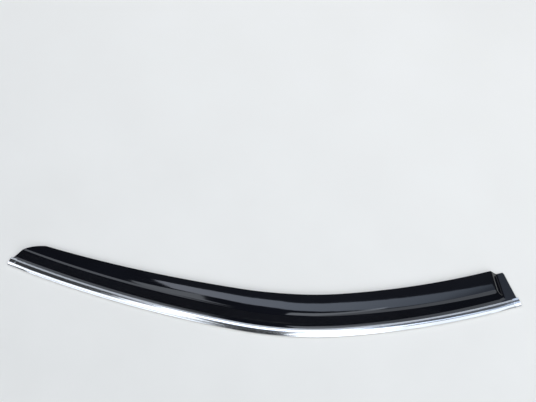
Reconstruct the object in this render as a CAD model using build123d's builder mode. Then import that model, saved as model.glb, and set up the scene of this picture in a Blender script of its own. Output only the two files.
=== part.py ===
# Window rain deflector for a front door, lying on its tape with the outer face up.
# X runs from the front end to the pillar tab, Y from the trim to the free edge, Z up.
import os
from math import cos, degrees, radians, sin, tan

from build123d import *

# Frame line: the trim's outer edge in plan, three tangent arcs from front to rear (mm)
front_radius = 2400.0
front_run = 450.0
crown_radius = 760.0
crown_run = 200.0
rear_radius = 1640.0
rear_run = 332.3
crown_share = 0.425

# Tape and release film under the flange
liner_thick = 0.1
tape_thick = 1.1
tape_clear = 1.0
tape_width = 9.7
tape_end_gap = 16.0

# Moulded panel: one wall thickness, heights and widths at the front, crown and rear
wall = 2.8
flange_inset = 3.8
flange_strip = 4.3
shoulder_run = 14.9
front_width = 54.5
crown_width = 77.0
rear_width = 76.0
front_crest = 20.5
crown_crest = 25.0
rear_crest = 17.0
front_edge = 12.0
crown_edge = 16.0
rear_edge = 13.5
face_crown = 1.6
foot_blend = 2.6
crest_blend = 4.2
crest_land = 1.5
edge_lip = 1.5
edge_round = 1.0
ease = 1.4
hood_stations = 15

# Front end: oblique cut with a round corner at the free edge
nose_start = 2.8
nose_angle = 45.0
nose_radius = 80.0
nose_reach = 4.0
nose_flare = 8.0
cut_room = 60.0
cut_depth = 20.0

# Rear end: step down to a flat pillar tab
step_run = 21.3
step_slant = -7.0
root_slant = -3.4
slant_ease = 6
step_stations = 5
flat_share = 0.35
tab_length = 22.8
tab_gap = 1.8
tab_slant = 5.0
tab_setback = 6.5
tab_corner = 3.5

# Trim: roll-formed strip with a low crown, a flat land beside it and a hook round the edge
sheet = 0.7
hook_gap = 0.1
hook_reach = 5.0
side_radius = 4.0
side_turn = 86.0
top_radius = 30.0
top_turn = 16.0
valley_radius = 1.5
land_width = 2.8
glue_line = 0.01
strip_gap = 1.9

# End caps: a shell over the strip's end, an end wall and a plug beside the flange
cap_length = 12.0
cap_wall = 0.7
cap_gap = 0.15
cap_end = 1.6
cap_bevel = 0.6
cap_open = 4.0
plug_inset = 2.4
plug_width = 2.2
plug_rise = 1.35
plug_length = 8.0

# Tape on the pillar tab
tab_tape_width = 9.5
tab_tape_inset = 25.0
tab_tape_length = 38.0
tab_tape_edge = 3.0

flange_low = liner_thick + tape_thick
flange_top = flange_low + wall
seat_top = flange_top + glue_line
hook_height = flange_low - hook_gap - sheet
line_length = front_run + crown_run + rear_run
crown_place = front_run + crown_share * crown_run
tab_end = line_length - tab_gap
step_place = tab_end - tab_length - step_run
front_turn = degrees(front_run / front_radius)
crown_turn = degrees(crown_run / crown_radius)
rear_turn = degrees(rear_run / rear_radius)
valley_turn = side_turn + top_turn - 90
side_rise = side_radius * sin(radians(side_turn))
top_fall = top_radius * (sin(radians(side_turn)) - cos(radians(valley_turn)))
valley_fall = valley_radius * (1 - cos(radians(valley_turn)))
side_base = seat_top + sheet - side_rise + top_fall + valley_fall
hook_bend = side_base - hook_height
side_run = side_radius * (1 - cos(radians(side_turn)))
bead_middle = side_run + top_radius * cos(radians(side_turn))
valley_end = bead_middle + (top_radius + valley_radius) * sin(radians(valley_turn))
land_end = valley_end + land_width
foot_inset = land_end + flange_strip
crest_inset = foot_inset + shoulder_run
nose_base = foot_inset - foot_blend
tape_inset = hook_bend + hook_reach + tape_clear
tape_far = tape_inset + tape_width
tape_rear = line_length - tape_end_gap


def three_arcs(start, heading, inset, first_turn, last_turn):
    # three tangent arcs at a distance inside the frame line
    first = JernArc(start, heading, front_radius - inset, first_turn)
    middle = JernArc(first @ 1, first % 1, crown_radius - inset, crown_turn)
    return JernArc(middle @ 1, middle % 1, rear_radius - inset, last_turn)


# The first pass finds the chord's angle, the second lays the chord along X
with BuildLine():
    last_arc = three_arcs((0, 0), (1, 0), 0, front_turn, rear_turn)
chord = last_arc @ 1
with BuildLine() as frame_line:
    three_arcs((0, 0), (chord.X, -chord.Y), 0, front_turn, rear_turn)
frame_wire = frame_line.wires()[0]


def station(place, slant=0.0):
    # upright plane across the frame line: x inward, y up, its normal along the line
    origin = frame_wire.position_at(place, position_mode=PositionMode.LENGTH)
    ahead = frame_wire.tangent_at(place, position_mode=PositionMode.LENGTH)
    ahead = ahead.rotate(Axis.Z, slant)
    return Plane(origin, x_dir=ahead.rotate(Axis.Z, 90), z_dir=ahead)


def parallel(inset, begin, finish):
    # part of the frame line's parallel between two places on the line
    across = station(begin)
    first_turn = degrees((front_run - begin) / front_radius)
    last_turn = degrees((finish - front_run - crown_run) / rear_radius)
    start = across.origin + across.x_dir * inset
    return three_arcs(start, across.z_dir, inset, first_turn, last_turn)


def strip_outline(near, far, begin, finish):
    # closed outline of a strip that follows the frame line
    low = parallel(near, begin, finish)
    high = parallel(far, begin, finish)
    ends = station(begin)
    Line(ends.origin + ends.x_dir * near, ends.origin + ends.x_dir * far)
    Line(low @ 1, high @ 1)


def eased(place, at_front, at_crown, at_rear):
    # value at a place, level at the crown and bending away towards both ends
    if place < crown_place:
        return at_crown + (at_front - at_crown) * (1 - place / crown_place) ** ease
    share = (place - crown_place) / (step_place - crown_place)
    return at_crown + (at_rear - at_crown) * share ** ease


def under(chain):
    # the same chain of points moved down by the wall, square to its runs
    lowered = []
    for i, point in enumerate(chain):
        after = (chain[i + 1] - point) if i + 1 < len(chain) else (point - chain[i - 1])
        before = (point - chain[i - 1]) if i else after
        first = Vector(before.Y, -before.X).normalized()
        second = Vector(after.Y, -after.X).normalized()
        lowered.append(point + (first + second) * (wall / (1 + first.dot(second))))
    return lowered


def panel_section(place, rise=1.0, stretch=1.0):
    # moulded wall from flange edge to free edge, at full rise or pressed towards flat
    size = flat_share + (1 - flat_share) * rise
    width = eased(min(place, step_place), front_width, crown_width, rear_width)
    width = width - edge_round - tab_setback * (1 - rise)
    crest_up = eased(min(place, step_place), front_crest, crown_crest, rear_crest)
    edge_up = eased(min(place, step_place), front_edge, crown_edge, rear_edge)
    ridge = foot_inset + size * (crest_inset - foot_inset)
    crest_z = flange_top + rise * (crest_up - flange_top)
    edge_z = flange_top + rise * (edge_up - flange_top)
    middle_z = (crest_z + edge_z) / 2 + rise * face_crown
    a = Vector(flange_inset * stretch, flange_top)
    b = Vector(foot_inset * stretch, flange_top)
    c = Vector(ridge * stretch, crest_z)
    e = Vector((ridge + width) / 2 * stretch, middle_z)
    d = Vector(width * stretch, edge_z)
    up = (c - b).normalized()
    along = (e - c).normalized()
    fall = (d - e).normalized()
    foot = [b - Vector(foot_blend * size, 0), b, b + up * foot_blend * size]
    crest = [c - up * crest_blend * size, c, c + along * crest_blend * size]
    face = [crest[2] + along * crest_land * size, e, d - fall * edge_lip]
    top = [a, *foot, *crest, *face, d]
    low = under(top)
    corner = d + fall * edge_round
    end_top = corner - Vector(0, edge_round)
    end_low = low[10] + fall * ((corner.X - low[10].X) / fall.X)
    Line(top[0], top[1])
    Bezier(*top[1:4])
    Line(top[3], top[4])
    Bezier(*top[4:7])
    Line(top[6], top[7])
    Bezier(*top[7:10])
    Line(top[9], top[10])
    Bezier(d, corner, end_top)
    Line(end_top, end_low)
    Line(end_low, low[9])
    Bezier(*low[7:10])
    Line(low[7], low[6])
    Bezier(*low[4:7])
    Line(low[4], low[3])
    Bezier(*low[1:4])
    Line(low[1], low[0])
    Line(low[0], top[0])


# Panel: lofted hood, step and tab in one moulding, then the oblique front cut
with BuildPart() as visor_panel:
    for i in range(hood_stations):
        share = i / (hood_stations - 1)
        place = step_place * share
        slant = step_slant * share**slant_ease
        with BuildSketch(station(place, slant)):
            with BuildLine():
                panel_section(place, 1.0, 1 / cos(radians(slant)))
            make_face()
    loft()
    for i in range(step_stations):
        share = i / (step_stations - 1)
        slant = step_slant + (root_slant - step_slant) * share
        fall = share * share * (3 - 2 * share)
        with BuildSketch(station(step_place + step_run * share, slant)):
            with BuildLine():
                panel_section(step_place, 1 - fall, 1 / cos(radians(slant)))
            make_face()
    loft()
    root = station(step_place + step_run, root_slant)
    tip = station(tab_end, tab_slant)
    root_grow = 1 / cos(radians(root_slant))
    tip_grow = 1 / cos(radians(tab_slant))
    tab_width = rear_width - tab_setback
    with BuildSketch(Plane.XY.offset(flange_low)):
        with BuildLine():
            near_root = root.origin + root.x_dir * flange_inset * root_grow
            far_root = root.origin + root.x_dir * tab_width * root_grow
            near_tip = tip.origin + tip.x_dir * flange_inset * tip_grow
            far_tip = tip.origin + tip.x_dir * tab_width * tip_grow
            Polyline(near_root, near_tip, far_tip, far_root, close=True)
        make_face()
        fillet(vertices().sort_by_distance(far_tip)[0], tab_corner)
    extrude(amount=wall)
    nose = station(0)
    with BuildSketch(Plane(nose.origin, x_dir=nose.z_dir, z_dir=(0, 0, 1))):
        reach = front_width + nose_reach
        corner = nose_start + (reach - nose_base) / tan(radians(nose_angle))
        flare_end = (corner + 2 * cut_room, reach + 2 * cut_room * tan(radians(nose_flare)))
        with BuildLine():
            FilletPolyline(
                (nose_start, -cut_depth),
                (nose_start, nose_base),
                (corner, reach),
                flare_end,
                radius=(nose_base / 2, nose_radius),
            )
            far_corner = (-cut_room, reach + cut_room)
            Polyline(flare_end, far_corner, (-cut_room, -cut_depth), (nose_start, -cut_depth))
        make_face()
    extrude(amount=crown_crest + cut_depth, mode=Mode.SUBTRACT)


def trim_top(grow):
    # top of the strip from its outer wall over the bead to the land, grown evenly
    side = JernArc((-grow, side_base), (0, 1), side_radius + grow, -side_turn)
    top = JernArc(side @ 1, side % 1, top_radius + grow, -top_turn)
    return JernArc(top @ 1, top % 1, valley_radius - grow, valley_turn)


def sheet_outside():
    # outer side of the strip's sheet, from the hook under the flange to the land's end
    hook = Line((hook_bend + hook_reach, hook_height), (hook_bend, hook_height))
    JernArc(hook @ 1, (-1, 0), hook_bend, -90)
    valley = trim_top(0)
    land = Line(valley @ 1, (land_end, seat_top + sheet))
    return hook @ 0, land @ 1


def sheet_inside():
    # inner side of the sheet, with a crisp fold where the hook turns under the flange
    fold = hook_height + sheet
    hook = Polyline((hook_bend + hook_reach, fold), (sheet, fold), (sheet, side_base))
    valley = trim_top(-sheet)
    land = Line(valley @ 1, (land_end, seat_top))
    return hook @ 0, land @ 1


with BuildPart() as trim_strip:
    with BuildLine() as strip_path:
        parallel(0, strip_gap, line_length - strip_gap)
    with BuildSketch(station(strip_gap)):
        with BuildLine():
            outside = sheet_outside()
            inside = sheet_inside()
            Line(outside[0], inside[0])
            Line(outside[1], inside[1])
        make_face()
    sweep(path=strip_path.wires()[0])


def cap_outline(grow, low):
    # the strip's outside grown evenly and closed along the bottom
    valley = trim_top(grow)
    edge = Vector(land_end + grow, seat_top + sheet + grow)
    Polyline(valley @ 1, edge, (edge.X, low), (-grow, low), (-grow, side_base))


# Both caps are built on the plane at their end of the strip and reach inward over it
cap_grow = cap_gap + cap_wall
end_caps = []
for place, inward in ((0, 1), (line_length, -1)):
    base = station(place)
    seat = base.offset(inward * cap_end)
    with BuildPart() as cap:
        with BuildSketch(base):
            with BuildLine():
                cap_outline(cap_grow, hook_height)
            make_face()
        extrude(amount=inward * cap_length)
        end_face = faces().sort_by(Axis(base.origin, base.z_dir * inward))[0]
        chamfer(end_face.edges().sort_by(Axis.Z)[1:], cap_bevel)
        with BuildSketch(seat):
            with BuildLine():
                cap_outline(cap_gap, hook_height - cap_wall)
            make_face()
            with Locations((land_end, 0)):
                Rectangle(cap_open, 2 * seat_top)
        extrude(amount=inward * cap_length, mode=Mode.SUBTRACT)
        with BuildSketch(seat):
            with Locations((plug_inset, flange_low - hook_gap + cap_gap + plug_rise / 2)):
                Rectangle(plug_width, plug_rise)
        extrude(amount=inward * plug_length)
    end_caps.append(cap)

# Tapes under the flange and the tab, each with its release film
with BuildPart() as frame_tape:
    with BuildSketch(Plane.XY.offset(liner_thick)):
        with BuildLine():
            strip_outline(tape_inset, tape_far, tape_end_gap, tape_rear)
        make_face()
    extrude(amount=tape_thick)

with BuildPart() as frame_tape_liner:
    with BuildSketch(Plane.XY):
        with BuildLine():
            strip_outline(tape_inset, tape_far, tape_end_gap, tape_rear)
        make_face()
    extrude(amount=liner_thick)

tab_plan = Plane(tip.origin, x_dir=tip.x_dir, z_dir=(0, 0, 1))
tab_tape_place = (tab_tape_inset + tab_tape_length / 2, tab_tape_edge + tab_tape_width / 2)

with BuildPart() as tab_tape:
    with BuildSketch(tab_plan.offset(liner_thick)):
        with Locations(tab_tape_place):
            Rectangle(tab_tape_length, tab_tape_width)
    extrude(amount=tape_thick)

with BuildPart() as tab_tape_liner:
    with BuildSketch(tab_plan):
        with Locations(tab_tape_place):
            Rectangle(tab_tape_length, tab_tape_width)
    extrude(amount=liner_thick)

pieces = {
    "visor_panel": visor_panel,
    "trim_strip": trim_strip,
    "front_end_cap": end_caps[0],
    "rear_end_cap": end_caps[1],
    "frame_tape": frame_tape,
    "frame_tape_liner": frame_tape_liner,
    "tab_tape": tab_tape,
    "tab_tape_liner": tab_tape_liner,
}

# The origin goes to the middle of the underside before the pieces are written
whole = Compound([piece.part for piece in pieces.values()]).bounding_box()
home = Location((-whole.center().X, -whole.center().Y, -whole.min.Z))
os.makedirs("parts", exist_ok=True)
for name, piece in pieces.items():
    placed = piece.part.moved(home)
    placed.label = name
    export_step(placed, f"parts/{name}.step")
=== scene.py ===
import math

import bpy
import numpy as np
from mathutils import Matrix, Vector


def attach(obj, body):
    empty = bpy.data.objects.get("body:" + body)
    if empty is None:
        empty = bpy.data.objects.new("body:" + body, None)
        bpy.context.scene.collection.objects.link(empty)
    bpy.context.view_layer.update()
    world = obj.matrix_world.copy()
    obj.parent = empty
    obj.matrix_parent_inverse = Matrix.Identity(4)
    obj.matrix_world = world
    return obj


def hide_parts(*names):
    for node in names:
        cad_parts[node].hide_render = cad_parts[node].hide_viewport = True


# Smoked window deflector lying on its tape: black gloss hood, bright strip, plated end caps
mm = 0.001
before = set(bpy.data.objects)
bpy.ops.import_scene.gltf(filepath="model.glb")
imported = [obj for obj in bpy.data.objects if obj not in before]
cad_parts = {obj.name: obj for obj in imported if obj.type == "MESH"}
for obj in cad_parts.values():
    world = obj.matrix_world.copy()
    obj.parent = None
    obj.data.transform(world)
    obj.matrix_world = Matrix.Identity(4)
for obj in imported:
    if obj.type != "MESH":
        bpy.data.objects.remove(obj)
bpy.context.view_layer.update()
print("frame loaded, nodes:", len(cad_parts))

# In mm: points closer than tiny count as one, and slack is the room left when sizes are compared
tiny, slack = 1e-6, 0.01

# Plan line of the strip's outer edge: three tangent arcs, lengths in mm along it are called places
planLine = {
    "radii": (2400.0, 760.0, 1640.0), "runs": (450.0, 200.0, 332.3), "crownShare": 0.425,
    "home": (-480.308, 16.190, 0.0),  # where the line's start goes, so that the part is centred
}
lineLength = sum(planLine["runs"])
crownPlace = planLine["runs"][0] + planLine["crownShare"] * planLine["runs"][1]


def arcSteps(place, startHeading):
    # each arc adds R(sin(h + t/R) - sin h), R(cos h - cos(h + t/R)) for its own share t of the place
    x, y, heading, begin = 0.0, 0.0, startHeading, 0.0
    turned = np.zeros_like(place)
    last = len(planLine["runs"]) - 1
    for i, (radius, length) in enumerate(zip(planLine["radii"], planLine["runs"])):
        low = -np.inf if i == 0 else 0.0
        high = np.inf if i == last else length
        t = np.clip(place - begin, low, high)
        x = x + radius * (np.sin(heading + t / radius) - math.sin(heading))
        y = y + radius * (math.cos(heading) - np.cos(heading + t / radius))
        turned = turned + t / radius
        heading += length / radius
        begin += length
    return x, y, startHeading + turned


chordX, chordY, _ = arcSteps(np.array([lineLength]), 0.0)
firstHeading = -math.atan2(chordY[0], chordX[0])


def onLine(place, inset, height, slant=0.0):
    # point at a place: the line's point plus the inset along its inward normal, turned by the slant
    x, y, heading = arcSteps(np.asarray(place, float), firstHeading)
    across = heading + math.pi / 2 + np.radians(slant)
    return np.stack([x + inset * np.cos(across), y + inset * np.sin(across), height + 0 * x], axis=-1)


def smooth(share):
    # s^2 (3 - 2s), level at both ends
    return share * share * (3 - 2 * share)


# Strip section in mm: hook under the flange, low crown, shallow valley and flat land
strip = {
    "sheet": 0.7, "hookReach": 5.0, "hookHeight": 0.4, "sideRadius": 4.0, "sideTurn": 86.0,
    "topRadius": 30.0, "topTurn": 16.0, "valleyRadius": 1.5, "landWidth": 2.8, "endGap": 1.9, "seat": 4.01,
    "bendPoints": 10, "sidePoints": 24, "topPoints": 26, "valleyPoints": 6, "landPoints": 4,
    "stations": 420, "sharp": 35,  # rows along the line, and degrees past which an edge shows
}
sideAngle = math.radians(180 - strip["sideTurn"])
topAngle = math.radians(180 - strip["sideTurn"] - strip["topTurn"])
landTop = strip["seat"] + strip["sheet"]
sideStart = np.array([math.cos(sideAngle), math.sin(sideAngle)])
topEnd = np.array([math.cos(topAngle), math.sin(topAngle)])
topFall = strip["topRadius"] * (sideStart[1] - topEnd[1])
valleyFall = strip["valleyRadius"] * (1 - topEnd[1])
sideBase = landTop - strip["sideRadius"] * sideStart[1] + topFall + valleyFall
sideCentre = np.array([strip["sideRadius"], sideBase])
topCentre = sideCentre + (strip["sideRadius"] - strip["topRadius"]) * sideStart
valleyCentre = topCentre + (strip["topRadius"] + strip["valleyRadius"]) * topEnd
hookBend = sideBase - strip["hookHeight"]
landEnd = valleyCentre[0] + strip["landWidth"]
downward = 1.5 * math.pi  # angle of the lowest point of a circle


def arc(centre, radius, start, finish, count):
    # points on a circle between two angles
    angle = np.linspace(start, finish, count)
    return np.stack([centre[0] + radius * np.cos(angle), centre[1] + radius * np.sin(angle)], axis=1)


def run(start, finish, count=2):
    # evenly spaced points on a straight line
    share = np.linspace(0, 1, count)[:, None]
    return np.array(start) * (1 - share) + np.array(finish) * share


def bead(grow):
    # side, top and valley arcs of the strip, grown evenly outwards
    valleyRadius = strip["valleyRadius"] - grow
    return [
        arc(sideCentre, strip["sideRadius"] + grow, math.pi, sideAngle, strip["sidePoints"]),
        arc(topCentre, strip["topRadius"] + grow, sideAngle, topAngle, strip["topPoints"]),
        arc(valleyCentre, valleyRadius, topAngle + math.pi, downward, strip["valleyPoints"]),
    ]


def stripLoop():
    # closed section, outside from hook to land and back along the inside
    sheet, seat, landPoints = strip["sheet"], strip["seat"], strip["landPoints"]
    hookTip = hookBend + strip["hookReach"]
    fold = strip["hookHeight"] + sheet
    bend = arc((hookBend, sideBase), hookBend, downward, math.pi, strip["bendPoints"])
    outside = [run((hookTip, strip["hookHeight"]), bend[0]), bend, *bead(0)]
    outside += [run((valleyCentre[0], landTop), (landEnd, landTop), landPoints)]
    inside = [run((hookTip, fold), (sheet, fold)), run((sheet, fold), (sheet, sideBase))]
    inside += bead(-sheet) + [run((valleyCentre[0], seat), (landEnd, seat), landPoints)]
    loop = np.concatenate(outside + [np.concatenate(inside)[::-1]])
    keep = np.linalg.norm(loop - np.roll(loop, 1, axis=0), axis=1) > tiny
    return loop[keep]


def gridFaces(rows, columns):
    # quads of a grid whose columns close into a loop
    index = np.arange(rows * columns).reshape(rows, columns)
    here, right = index, np.roll(index, -1, axis=1)
    return np.stack([here[:-1], here[1:], right[1:], right[:-1]], axis=-1).reshape(-1, 4)


def makePiece(name, points, quads, others, sharp, uv=None):
    # mesh from whole arrays in mm; others are faces with their own corner counts
    mesh = bpy.data.meshes.new(name)
    faces = quads.tolist() + [list(face) for face in others]
    mesh.from_pydata((points * mm).tolist(), [], faces)
    mesh.polygons.foreach_set("use_smooth", np.ones(len(mesh.polygons), bool))
    if uv is not None:
        layer = mesh.uv_layers.new(name="along")
        corner = np.zeros(len(mesh.loops), np.int32)
        mesh.loops.foreach_get("vertex_index", corner)
        layer.data.foreach_set("uv", uv[corner].astype(np.float32).ravel())
    mesh.update()
    mesh.set_sharp_from_angle(angle=math.radians(sharp))
    piece = bpy.data.objects.new(name, mesh)
    bpy.context.scene.collection.objects.link(piece)
    return piece


# Between the caps the bead stands a little fuller, with a straight fall to the land
crown = {"side": 4.55, "apex": 5.3, "round": 16.0, "fall": 13.0, "start": 16.0, "fade": 44.0}


def crownHeight(inset):
    # quarter round up to a level top, a big round of radius R losing R - sqrt(R^2 - x^2),
    # then an even fall
    dip = np.clip(crown["side"] - inset, 0, crown["side"])
    rise = sideBase + np.sqrt(crown["side"] ** 2 - dip ** 2)
    turn = math.radians(crown["fall"])
    bend = crown["round"] * math.sin(turn)
    past = np.clip(inset - crown["apex"], 0, None)
    rounded = crown["round"] - np.sqrt(crown["round"] ** 2 - np.minimum(past, bend) ** 2)
    return np.maximum(rise - rounded - np.clip(past - bend, 0, None) * math.tan(turn), landTop)


# The strip is its section carried along the plan line
stripSection = stripLoop()
stripPlaces = np.linspace(strip["endGap"], lineLength - strip["endGap"], strip["stations"])
beadTop = np.concatenate(bead(0))
beadLift = np.interp(stripSection[:, 0], beadTop[:, 0], crownHeight(beadTop[:, 0]) - beadTop[:, 1])
beadLift = np.where(stripSection[:, 1] > sideBase + tiny, beadLift, 0.0)
fromEnd = np.minimum(stripPlaces, lineLength - stripPlaces)
fullness = smooth(np.clip((fromEnd - crown["start"]) / crown["fade"], 0, 1))
stripHeights = stripSection[None, :, 1] + fullness[:, None] * beadLift[None, :]
stripPoints = onLine(stripPlaces[:, None], stripSection[None, :, 0], stripHeights)
# Length round the section in metres, and where the outside of the land begins on it
girth = np.cumsum(np.linalg.norm(np.diff(stripSection, axis=0, prepend=stripSection[:1]), axis=1)) * mm
beforeLand = (stripSection[:, 0] < valleyCentre[0] - slack) & (stripSection[:, 1] >= landTop - slack)
landStart = girth[beforeLand].max()
shift = np.array(planLine["home"])


def addStrip():
    # the strip's grid with a face at each end; its UV map is the place and the girth in metres
    rows, columns = stripPoints.shape[:2]
    uv = np.stack(np.broadcast_arrays(stripPlaces[:, None] * mm, girth[None, :]), axis=-1)
    points = stripPoints.reshape(-1, 3) + shift
    ends = [range(columns), range(rows * columns - 1, (rows - 1) * columns - 1, -1)]
    faces = gridFaces(rows, columns)
    piece = makePiece("bright_strip", points, faces, ends, strip["sharp"], uv.reshape(-1, 2))
    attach(piece, "root")
    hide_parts("trim_strip")
    return piece


# Hood section in mm, with width, crest and edge at the front, crown and rear of the plan line
hood = {
    "wall": 2.8, "flangeLow": 1.2, "flangeInset": 3.8, "flangeStrip": 4.3, "shoulderRun": 14.9,
    "width": (54.5, 77.0, 76.0), "crest": (20.5, 25.0, 17.0), "edge": (12.0, 16.0, 13.5), "ease": 1.4,
    "faceCrown": 1.6, "footBlend": 2.6, "crestBlend": 4.2, "crestLand": 1.5, "edgeLip": 1.5,
    "edgeRound": 1.0, "sharp": 40, "stations": 400, "crowding": 1.15,  # over 1: closer rows at the front
}
# Front end cut and rear tab in mm
nose = {
    "start": 2.8, "angle": 45.0, "radius": 80.0, "reach": 4.0, "flare": 8.0,
    "steps": 24, "rim": 0.999,  # tries to meet the cut, and how much of a radius its rounds may use
}
tab = {
    "stepRun": 21.3, "length": 22.8, "gap": 1.8, "setback": 6.5, "corner": 3.5, "flatShare": 0.35,
    "stepSlant": -7.0, "rootSlant": -3.4, "slant": 5.0, "slantEase": 6, "stepStations": 36, "stations": 14,
}
flangeTop = hood["flangeLow"] + hood["wall"]
footInset = landEnd + hood["flangeStrip"]
tabEnd = lineLength - tab["gap"]
stepPlace = tabEnd - tab["length"] - tab["stepRun"]


def eased(place, values):
    # level at the crown, bending away to both ends by a power of the distance
    front, middle, rear = values
    toFront = np.clip(1 - place / crownPlace, 0, None) ** hood["ease"]
    toRear = np.clip((place - crownPlace) / (stepPlace - crownPlace), 0, None) ** hood["ease"]
    return middle + (front - middle) * toFront + (rear - middle) * toRear


def unit(vector):
    # each vector over its own length
    return vector / np.linalg.norm(vector, axis=-1, keepdims=True)


def pair(x, y):
    # points (x, y) from two arrays
    return np.stack(np.broadcast_arrays(x, y), axis=-1).astype(float)


def hoodCorners(place, rise, stretch):
    # corner points (inset, height) of the top, and of the underside a wall w below: with the
    # normals m and n of its two sides, a corner moves by (m + n) w / (1 + m.n)
    place = np.minimum(place, stepPlace)
    size = tab["flatShare"] + (1 - tab["flatShare"]) * rise
    width = eased(place, hood["width"]) - hood["edgeRound"] - tab["setback"] * (1 - rise)
    ridge = footInset + size * hood["shoulderRun"]
    crestZ = flangeTop + rise * (eased(place, hood["crest"]) - flangeTop)
    edgeZ = flangeTop + rise * (eased(place, hood["edge"]) - flangeTop)
    flangeSpot = pair(hood["flangeInset"] * stretch, flangeTop + 0 * place)
    footSpot = pair(footInset * stretch, flangeTop + 0 * place)
    crestSpot = pair(ridge * stretch, crestZ)
    faceSpot = pair((ridge + width) / 2 * stretch, (crestZ + edgeZ) / 2 + rise * hood["faceCrown"])
    edgeSpot = pair(width * stretch, edgeZ)
    size = size[..., None]
    up, along, fall = unit(crestSpot - footSpot), unit(faceSpot - crestSpot), unit(edgeSpot - faceSpot)
    level = np.zeros_like(footSpot)
    level[..., 0] = hood["footBlend"]
    foot = [footSpot - level * size, footSpot, footSpot + up * hood["footBlend"] * size]
    blend = hood["crestBlend"]
    crest = [crestSpot - up * blend * size, crestSpot, crestSpot + along * blend * size]
    face = [crest[2] + along * hood["crestLand"] * size, faceSpot, edgeSpot - fall * hood["edgeLip"]]
    top = [flangeSpot, *foot, *crest, *face, edgeSpot]
    low = []
    for i, point in enumerate(top):
        after = top[i + 1] - point if i + 1 < len(top) else point - top[i - 1]
        before = point - top[i - 1] if i else after
        first, second = unit(before[..., ::-1] * (1, -1)), unit(after[..., ::-1] * (1, -1))
        scale = hood["wall"] / (1 + (first * second).sum(axis=-1, keepdims=True))
        low.append(point + (first + second) * scale)
    corner = edgeSpot + fall * hood["edgeRound"]
    endTop = corner - (0, hood["edgeRound"])
    endLow = low[-1] + fall * ((corner[..., :1] - low[-1][..., :1]) / fall[..., :1])
    return {"top": top, "low": low, "corner": corner, "endTop": endTop, "endLow": endLow}


# Section runs as (kind, corner numbers, point count): straight runs and quadratic rounds
hoodRuns = [
    ("top", (0, 1), 5), ("top", (1, 2, 3), 9), ("top", (3, 4), 7), ("top", (4, 5, 6), 15),
    ("top", (6, 7), 3), ("top", (7, 8, 9), 27), ("top", (9, 10), 3),
    ("round", (), 8), ("end", (), 3), ("lip", (), 3),
    ("low", (9, 8, 7), 27), ("low", (7, 6), 3), ("low", (6, 5, 4), 15), ("low", (4, 3), 7),
    ("low", (3, 2, 1), 9), ("low", (1, 0), 5), ("close", (), 3),
]


def runColumns(*kinds):
    # columns taken by the runs of these kinds; a run leaves its last point to the next one
    return sum(count - 1 for kind, _, count in hoodRuns if kind in kinds)


hoodColumns = runColumns("top", "round", "end", "lip", "low", "close")


def runCorners(kind, picks, corners):
    # the two or three corners that a run goes between
    if kind in ("top", "low"):
        return [corners[kind][i] for i in picks]
    if kind == "round":
        return [corners["top"][-1], corners["corner"], corners["endTop"]]
    if kind == "end":
        return [corners["endTop"], corners["endLow"]]
    if kind == "lip":
        return [corners["endLow"], corners["low"][-2]]
    return [corners["low"][0], corners["top"][0]]


def hoodSection(place, rise, stretch):
    # a run's point is the weighted sum of its corners: (1-t, t) or ((1-t)^2, 2t(1-t), t^2)
    made, begin = [], 0
    for kind, picks, count in hoodRuns:
        cols = slice(begin, begin + count - 1)
        begin += count - 1
        corners = runCorners(kind, picks, hoodCorners(place[:, cols], rise[:, cols], stretch[:, cols]))
        t = np.linspace(0, 1, count)[:-1]
        weights = (1 - t, t) if len(corners) == 2 else ((1 - t) ** 2, 2 * t * (1 - t), t ** 2)
        made.append(sum(point * weight[:, None] for point, weight in zip(corners, weights)))
    return np.concatenate(made, axis=1)


def noseLine(across):
    # how far along the front cut lies at each inset: upright, small round, slanted, big round, flare
    base = footInset - hood["footBlend"]
    lean, flare = math.radians(nose["angle"]), math.radians(nose["flare"])
    small = base / 2
    reach = hood["width"][0] + nose["reach"]
    cornerX = nose["start"] + (reach - base) / math.tan(lean)
    smallCentre = (nose["start"] + small, base - small * math.tan((math.pi / 2 - lean) / 2))
    tangent = nose["radius"] * math.tan((lean - flare) / 2)
    bigX = cornerX - tangent * math.cos(lean) + nose["radius"] * math.sin(lean)
    bigY = reach - tangent * math.sin(lean) - nose["radius"] * math.cos(lean)
    slanted = nose["start"] + (across - base) / math.tan(lean)
    dip = np.clip(across - smallCentre[1], 0, small * nose["rim"])
    rounded = smallCentre[0] - np.sqrt(small ** 2 - dip ** 2)
    lift = np.clip(across - bigY, 0, nose["radius"] * nose["rim"])
    big = bigX - np.sqrt(nose["radius"] ** 2 - lift ** 2)
    low = np.where(across < smallCentre[1], nose["start"], rounded)
    smallTop = smallCentre[1] + small * math.cos(lean)
    bigStart = reach - tangent * math.sin(lean)
    return np.where(across < smallTop, low, np.where(across < bigStart, slanted, big))


def noseStart():
    # place where each column of the hood begins, found by stepping onto the front cut
    start = np.zeros((1, hoodColumns))
    full = np.ones_like(start)
    origin = onLine(np.zeros(1), 0.0, 0.0)[0]
    for _ in range(nose["steps"]):
        section = hoodSection(start, full, full)
        offset = onLine(start, section[..., 0], 0.0) - origin
        along = offset[..., 0] * math.cos(firstHeading) + offset[..., 1] * math.sin(firstHeading)
        across = offset[..., 1] * math.cos(firstHeading) - offset[..., 0] * math.sin(firstHeading)
        start = start + noseLine(across) - along
    return start


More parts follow.
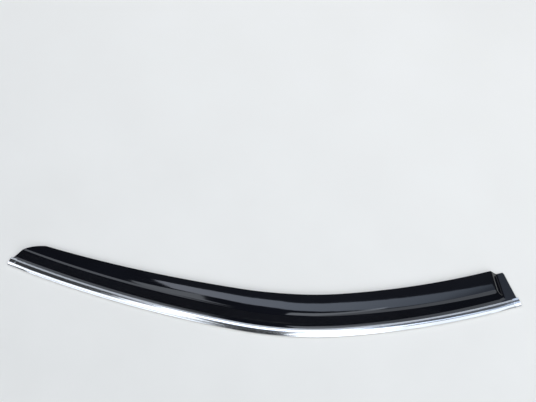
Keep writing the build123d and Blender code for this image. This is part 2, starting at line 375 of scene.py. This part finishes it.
def hoodRows():
    # hood, step and tab as one grid of points: rows along the line, columns round the section
    start = noseStart()
    share = np.linspace(0, 1, hood["stations"])[:, None] ** hood["crowding"]
    place = start + (stepPlace - start) * share
    full = np.ones_like(place)
    slant = tab["stepSlant"] * (place / stepPlace) ** tab["slantEase"]
    section = hoodSection(place, full, 1 / np.cos(np.radians(slant)))
    rows = [onLine(place, section[..., 0], section[..., 1], slant)]
    # step: the section sinks smoothly to the tab's while the slant turns evenly
    share = np.linspace(0, 1, tab["stepStations"])[1:, None] + np.zeros((1, hoodColumns))
    slant = tab["stepSlant"] + (tab["rootSlant"] - tab["stepSlant"]) * share
    section = hoodSection(np.full_like(share, stepPlace), 1 - smooth(share), 1 / np.cos(np.radians(slant)))
    rows.append(onLine(stepPlace + tab["stepRun"] * share, section[..., 0], section[..., 1], slant))
    # tab: straight from the step's last row to a slanted tip with one round corner
    narrowing = math.cos(math.radians(tab["rootSlant"])) / math.cos(math.radians(tab["slant"]))
    flat = section[-1:] * (narrowing, 1)
    root = rows[-1][-1:]
    tip = onLine(np.full_like(share[:1], tabEnd), flat[..., 0], flat[..., 1], tab["slant"])
    past = np.clip(flat[..., 0] - (flat[..., 0].max() - tab["corner"]), 0, tab["corner"])
    cut = tab["corner"] - np.sqrt(np.clip(tab["corner"] ** 2 - past ** 2, 0, None))
    tip = tip - unit(tip - root) * cut[..., None]
    share = np.linspace(0, 1, tab["stations"])[1:, None, None]
    rows.append(root + (tip - root) * share)
    return np.concatenate(rows)


def endFaces(base, flip):
    # quads between matching points of the top and the underside, and a fan at the free edge
    half = runColumns("top")
    fan = runColumns("round", "end")
    top = np.arange(half + 1)
    low = (hoodColumns - 2 - top) % hoodColumns
    quads = [(top[i], top[i + 1], low[i + 1], low[i]) for i in range(half)]
    quads[0] = (hoodColumns - 1, 0, 1, low[1], low[0])
    fans = [(half + fan, half + i, half + i + 1) for i in range(fan - 1)]
    faces = [tuple(int(i) + base for i in face) for face in quads + fans]
    return [face[::-1] for face in faces] if flip else faces


def addHood():
    # the hood's grid, closed at the nose and at the tab's tip
    points = hoodRows()
    rows, columns = points.shape[:2]
    faces = gridFaces(rows, columns)[:, ::-1]
    ends = endFaces(0, False) + endFaces((rows - 1) * columns, True)
    piece = makePiece("smoked_hood", points.reshape(-1, 3) + shift, faces, ends, hood["sharp"])
    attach(piece, "root")
    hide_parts("visor_panel")
    return piece


stripPiece = addStrip()
print("strip faces:", len(stripPiece.data.polygons))
hoodPiece = addHood()
print("hood faces:", len(hoodPiece.data.polygons))


class Wire:
    # a shader socket; arithmetic on it adds Math nodes
    def __init__(self, tree, socket):
        self.tree, self.socket = tree, socket

    def maths(self, operation, first, second):
        return shaderNode(self.tree, "ShaderNodeMath", {"operation": operation}, {0: first, 1: second})

    def __add__(self, other):
        return self.maths("ADD", self, other)

    def __radd__(self, other):
        return self.maths("ADD", other, self)

    def __sub__(self, other):
        return self.maths("SUBTRACT", self, other)

    def __rsub__(self, other):
        return self.maths("SUBTRACT", other, self)

    def __mul__(self, other):
        return self.maths("MULTIPLY", self, other)

    def __rmul__(self, other):
        return self.maths("MULTIPLY", other, self)


def shaderNode(tree, kind, settings=None, sockets=None, output=0):
    # any node: its settings first, then the values or links of its sockets
    node = tree.nodes.new(kind)
    for key, value in (settings or {}).items():
        if key == "stops":
            ramp = node.color_ramp.elements
            for place, _ in value[len(ramp):]:
                ramp.new(place)
            for stop, (place, colour) in zip(ramp, value):
                stop.position, stop.color = place, (*colour, 1.0)
        else:
            setattr(node, key, value)
    for key, value in (sockets or {}).items():
        if isinstance(value, Wire):
            tree.links.new(value.socket, node.inputs[key])
        else:
            node.inputs[key].default_value = value
    return Wire(tree, node.outputs[output])


def newFinish(name):
    # empty material with its principled shader, and the object coordinates
    finish = bpy.data.materials.new(name)
    finish.use_nodes = True
    tree = finish.node_tree
    shader = tree.nodes["Principled BSDF"]
    spot = shaderNode(tree, "ShaderNodeTexCoord", output="Object")
    return finish, tree, shader, spot


def noise(tree, spot, scale, detail=2.0, rough=0.5, stretch=None):
    # noise over the coordinates, stretched first where a stretch is given
    if stretch is not None:
        spot = shaderNode(tree, "ShaderNodeMapping", None, {"Vector": spot, "Scale": stretch})
    values = {"Vector": spot, "Scale": scale, "Detail": detail, "Roughness": rough}
    return shaderNode(tree, "ShaderNodeTexNoise", None, values)


def tones(tree, stops, share):
    # colour ramp through stops of (place, colour)
    return shaderNode(tree, "ShaderNodeValToRGB", {"stops": stops}, {"Fac": share})


def axis(tree, spot, name):
    # one coordinate of a point
    return shaderNode(tree, "ShaderNodeSeparateXYZ", None, {0: spot}, output=name)


def bump(tree, height, strength, distance):
    # normal tilted by the slope of a height
    values = {"Height": height, "Strength": strength, "Distance": distance}
    return shaderNode(tree, "ShaderNodeBump", None, values)


def feed(shader, tree, **links):
    # what changes over the surface
    for key, wire in links.items():
        tree.links.new(wire.socket, shader.inputs[key.replace("_", " ")])


def fix(shader, **values):
    # what is the same all over the surface
    for key, value in values.items():
        shader.inputs[key.replace("_", " ")].default_value = value


def smokedFinish():
    # dark tinted plastic: faint cloud in the tint, hairline wear in the gloss, soft waviness
    look = {
        "tint": [(0.3, (0.0022, 0.0026, 0.0048)), (0.7, (0.0042, 0.0048, 0.0080))],
        "gloss": 0.02, "wear": 0.05, "index": 1.49,
        "cloud": {"scale": 9.0, "detail": 3.0},
        "hairs": {"scale": 260.0, "detail": 3.0, "rough": 0.6, "stretch": (0.15, 1.0, 1.0)},
        "waves": {"scale": 45.0, "detail": 1.0},
        "relief": {"strength": 0.05, "distance": 0.0006},
    }
    finish, tree, shader, spot = newFinish("smoked_gloss")
    tint = tones(tree, look["tint"], noise(tree, spot, **look["cloud"]))
    hairs = noise(tree, spot, **look["hairs"])
    waves = noise(tree, spot, **look["waves"])
    feed(shader, tree, Base_Color=tint, Roughness=hairs * look["wear"] + look["gloss"])
    feed(shader, tree, Normal=bump(tree, waves, **look["relief"]))
    fix(shader, IOR=look["index"])
    return finish


def brightFinish():
    # polished rolled steel with fine drawn lines along it; the land beside the bead is satin
    look = {
        "satin": (0.44, 0.445, 0.455), "low": (0.60, 0.605, 0.61), "high": (0.68, 0.685, 0.69),
        "gloss": 0.07, "lines": 0.06, "haze": 0.40,
        "drawn": {"scale": 1.0, "detail": 3.0, "rough": 0.6, "stretch": (12.0, 2600.0, 1.0)},
        "cloud": {"scale": 14.0},
        "relief": {"strength": 0.02, "distance": 0.0001},
    }
    finish, tree, shader, spot = newFinish("bright_steel")
    along = shaderNode(tree, "ShaderNodeUVMap", {"uv_map": "along"})
    drawn = noise(tree, along, **look["drawn"])
    cloud = noise(tree, spot, **look["cloud"])
    girthHere = axis(tree, along, "Y")
    onLand = girthHere.maths("GREATER_THAN", girthHere, landStart)
    stops = [(0.0, look["satin"]), (0.3, look["low"]), (0.7, look["high"])]
    tone = tones(tree, stops, cloud - onLand)
    rough = drawn * look["lines"] + onLand * look["haze"] + look["gloss"]
    feed(shader, tree, Base_Color=tone, Roughness=rough)
    feed(shader, tree, Normal=bump(tree, drawn, **look["relief"]))
    fix(shader, Metallic=1.0)
    return finish


def platedFinish():
    # plated moulding: brighter than the strip, with a faint moulded ripple
    look = {
        "tone": [(0.3, (0.78, 0.79, 0.81)), (0.7, (0.88, 0.89, 0.90))], "gloss": 0.05, "dull": 0.07,
        "haze": {"scale": 320.0, "detail": 3.0},
        "relief": {"strength": 0.05, "distance": 0.0001},
    }
    finish, tree, shader, spot = newFinish("plated_cap")
    haze = noise(tree, spot, **look["haze"])
    tone = tones(tree, look["tone"], haze)
    feed(shader, tree, Base_Color=tone, Roughness=haze * look["dull"] + look["gloss"])
    feed(shader, tree, Normal=bump(tree, haze, **look["relief"]))
    fix(shader, Metallic=1.0)
    return finish


def foamFinish():
    # closed-cell foam: small round cells in tone and height
    look = {
        "tone": [(0.1, (0.012, 0.012, 0.013)), (0.7, (0.045, 0.045, 0.047))],
        "cells": 1500.0, "rough": 0.8, "rim": 0.15,
        "relief": {"strength": 0.5, "distance": 0.0003},
    }
    finish, tree, shader, spot = newFinish("foam_cells")
    cells = shaderNode(tree, "ShaderNodeTexVoronoi", None, {"Vector": spot, "Scale": look["cells"]})
    tone = tones(tree, look["tone"], cells)
    feed(shader, tree, Base_Color=tone, Roughness=cells * look["rim"] + look["rough"])
    feed(shader, tree, Normal=bump(tree, cells, **look["relief"]))
    return finish


def filmFinish():
    # red release film: soft crinkle and a slightly uneven tint
    look = {
        "tone": [(0.3, (0.42, 0.012, 0.014)), (0.7, (0.58, 0.025, 0.024))], "gloss": 0.28, "dull": 0.2,
        "crinkle": {"scale": 180.0, "detail": 4.0, "rough": 0.6},
        "relief": {"strength": 0.25, "distance": 0.0002},
    }
    finish, tree, shader, spot = newFinish("red_film")
    crinkle = noise(tree, spot, **look["crinkle"])
    tone = tones(tree, look["tone"], crinkle)
    feed(shader, tree, Base_Color=tone, Roughness=crinkle * look["dull"] + look["gloss"])
    feed(shader, tree, Normal=bump(tree, crinkle, **look["relief"]))
    return finish


def dress(piece, finish):
    # the piece's only material
    piece.data.materials.clear()
    piece.data.materials.append(finish)


dress(hoodPiece, smokedFinish())
dress(stripPiece, brightFinish())
nodeFinishes = [
    (platedFinish(), ("front_end_cap", "rear_end_cap")),
    (foamFinish(), ("frame_tape", "tab_tape")),
    (filmFinish(), ("frame_tape_liner", "tab_tape_liner")),
]
for finish, names in nodeFinishes:
    for name in names:
        dress(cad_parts[name], finish)
print("finishes set")

# Table top in metres; where it shows, a painted glow of level + right x + far y, from none to most, paints
# it paler
table = {
    "half": 6.0, "tone": [(0.3, (0.872, 0.836, 0.772)), (0.7, (0.902, 0.866, 0.802))],
    "mottle": {"scale": 6.0, "detail": 3.0}, "rough": 0.6, "uneven": 0.1, "specular": 0.2,
    "level": 0.055, "right": 0.06, "far": 0.2, "most": 0.2,
}


def tableFinishWithPaintedGlow():
    # pale matt table with a barely visible mottle; where it shows, a painted glow makes it paler to the
    # far right
    finish, tree, shader, spot = newFinish("pale_table_painted_glow")
    mottle = noise(tree, spot, **table["mottle"])
    tone = tones(tree, table["tone"], mottle)
    feed(shader, tree, Base_Color=tone, Roughness=mottle * table["uneven"] + table["rough"])
    # painted light: the glow grows to the right and the far side, painting the table paler there than the
    # lamps make it
    lift = axis(tree, spot, "X") * table["right"] + axis(tree, spot, "Y") * table["far"] + table["level"]
    lift = lift.maths("MINIMUM", lift.maths("MAXIMUM", lift, 0.0), table["most"])
    # camera, glossy and transmission rays see the painted glow, so it adds no light to matt surfaces
    rays = ("Is Camera Ray", "Is Glossy Ray", "Is Transmission Ray")
    seen, glossy, through = [shaderNode(tree, "ShaderNodeLightPath", output=ray) for ray in rays]
    feed(shader, tree, Emission_Color=lift * (seen + glossy + through))
    fix(shader, Emission_Strength=1.0, Specular_IOR_Level=table["specular"])
    return finish


rayKinds = ("camera", "diffuse", "glossy", "transmission", "volume_scatter", "shadow")


def addCard(name, corners, finish, seenBy=rayKinds):
    # stage piece of one four-cornered face, for the named kinds of ray only
    mesh = bpy.data.meshes.new(name)
    mesh.from_pydata(corners, [], [(0, 1, 2, 3)])
    card = bpy.data.objects.new(name, mesh)
    bpy.context.scene.collection.objects.link(card)
    dress(card, finish)
    for kind in rayKinds:
        setattr(card, "visible_" + kind, kind in seenBy)


def facing(place, aim):
    # turn that points an object's -Z from its place to its aim
    return (Vector(aim) - Vector(place)).to_track_quat("-Z", "Y").to_euler()


def addLamp(name, place, size, glow):
    # rectangle of even brightness facing straight down; its power is pi times the area times the glow
    lamp = bpy.data.lights.new(name, "AREA")
    lamp.shape = "RECTANGLE"
    lamp.size, lamp.size_y = size
    lamp.energy = math.pi * size[0] * size[1] * glow
    lamp.color = lampTint
    holder = bpy.data.objects.new(name, lamp)
    holder.location = place
    holder.rotation_euler = facing(place, (*place[:2], 0.0))
    bpy.context.scene.collection.objects.link(holder)


# Soft boxes overhead, with a dark gap over the camera
lampTint = (0.91, 0.98, 1.08)
studio = {
    "leftNear": {"place": (-1.65, -0.875, 2.4), "size": (1.9, 3.45), "glow": 1.9},
    "leftFar": {"place": (-0.52, 0.91, 2.4), "size": (0.36, 2.22), "glow": 2.2},
    "rightBox": {"place": (0.32, -0.525, 2.4), "size": (0.46, 3.75), "glow": 2.9},
    "farRight": {"place": (2.225, -1.6, 2.4), "size": (3.35, 4.8), "glow": 1.55},
}
# Window card on the far side, turned in plan and fading to the right, over a dim even card
window = {
    "corner": (-0.62, 2.95), "turn": (0.72, -0.69), "width": 3.4, "sill": 2.4, "head": 3.25,
    "from": -0.62, "to": 1.83, "strength": 3.9,
    "tone": [
        (0.0, (0.80, 0.86, 1.0)), (0.3, (0.57, 0.65, 0.79)),
        (0.62, (0.35, 0.41, 0.51)), (0.75, (0.14, 0.165, 0.21)),
    ],
}
dim = {"foot": 1.3, "tone": (0.8, 0.86, 1.0, 1.0), "strength": 0.13}
# Low grey card along the near side, hiding the table beyond it from the hood's shoulder
flag = {
    "y": -0.24, "half": 1.4, "height": 0.06, "tone": [(0.3, (0.19,) * 3), (0.7, (0.23,) * 3)],
    "pile": {"scale": 400.0, "detail": 2.0},
}
black = (0, 0, 0, 1)


def windowFinish():
    # glowing pane whose tone runs along x
    finish, tree, shader, spot = newFinish("window_pane")
    share = (axis(tree, spot, "X") - window["from"]) * (1 / (window["to"] - window["from"]))
    feed(shader, tree, Emission_Color=tones(tree, window["tone"], share))
    fix(shader, Emission_Strength=window["strength"], Base_Color=black)
    return finish


def dimFinish():
    # faint even glow
    finish, _, shader, _ = newFinish("window_wall")
    fix(shader, Emission_Color=dim["tone"], Emission_Strength=dim["strength"], Base_Color=black)
    return finish


def flagFinish():
    # grey felt
    finish, tree, shader, spot = newFinish("grey_felt")
    feed(shader, tree, Base_Color=tones(tree, flag["tone"], noise(tree, spot, **flag["pile"])))
    fix(shader, Roughness=1.0, Specular_IOR_Level=0.0)
    return finish


def upright(start, finish, foot, head):
    # corners of an upright card over the line between two points of the plan
    return [(*start, foot), (*finish, foot), (*finish, head), (*start, head)]


windowStart = window["corner"]
windowEnd = [c + t * window["width"] for c, t in zip(window["corner"], window["turn"])]
paneCorners = upright(windowStart, windowEnd, window["sill"], window["head"])
dimCorners = upright(windowStart, windowEnd, dim["foot"], window["sill"])
flagCorners = upright((-flag["half"], flag["y"]), (flag["half"], flag["y"]), 0, flag["height"])
addCard("window_pane", paneCorners, windowFinish(), ("diffuse", "glossy"))
addCard("window_wall", dimCorners, dimFinish(), ("glossy",))
addCard("front_flag", flagCorners, flagFinish(), ("glossy",))
tableCorners = [(x * table["half"], y * table["half"], 0) for x, y in ((-1, -1), (1, -1), (1, 1), (-1, 1))]
addCard("table_top", tableCorners, tableFinishWithPaintedGlow())
for lampName, setting in studio.items():
    addLamp(lampName, **setting)
air = {"colour": (0.9, 0.95, 1.0, 1.0), "strength": 0.06}
world = bpy.data.worlds.new("room")
world.use_nodes = True
world.node_tree.nodes["Background"].inputs["Color"].default_value = air["colour"]
world.node_tree.nodes["Background"].inputs["Strength"].default_value = air["strength"]
bpy.context.scene.world = world
print("lights set")

# Camera over the near side, looking down at the photograph's angle
shot = {"place": (0.0534, -0.4739, 1.4298), "aim": (-0.0026, 0.1904, 0.0), "lens": 54.18}
camera = bpy.data.cameras.new("camera")
camera.lens = shot["lens"]
camera.sensor_fit = "HORIZONTAL"
cameraHolder = bpy.data.objects.new("camera", camera)
cameraHolder.location = shot["place"]
cameraHolder.rotation_euler = facing(shot["place"], shot["aim"])
bpy.context.scene.collection.objects.link(cameraHolder)
bpy.context.scene.camera = cameraHolder
bpy.context.scene.view_settings.view_transform = "Standard"

print("scene ready")
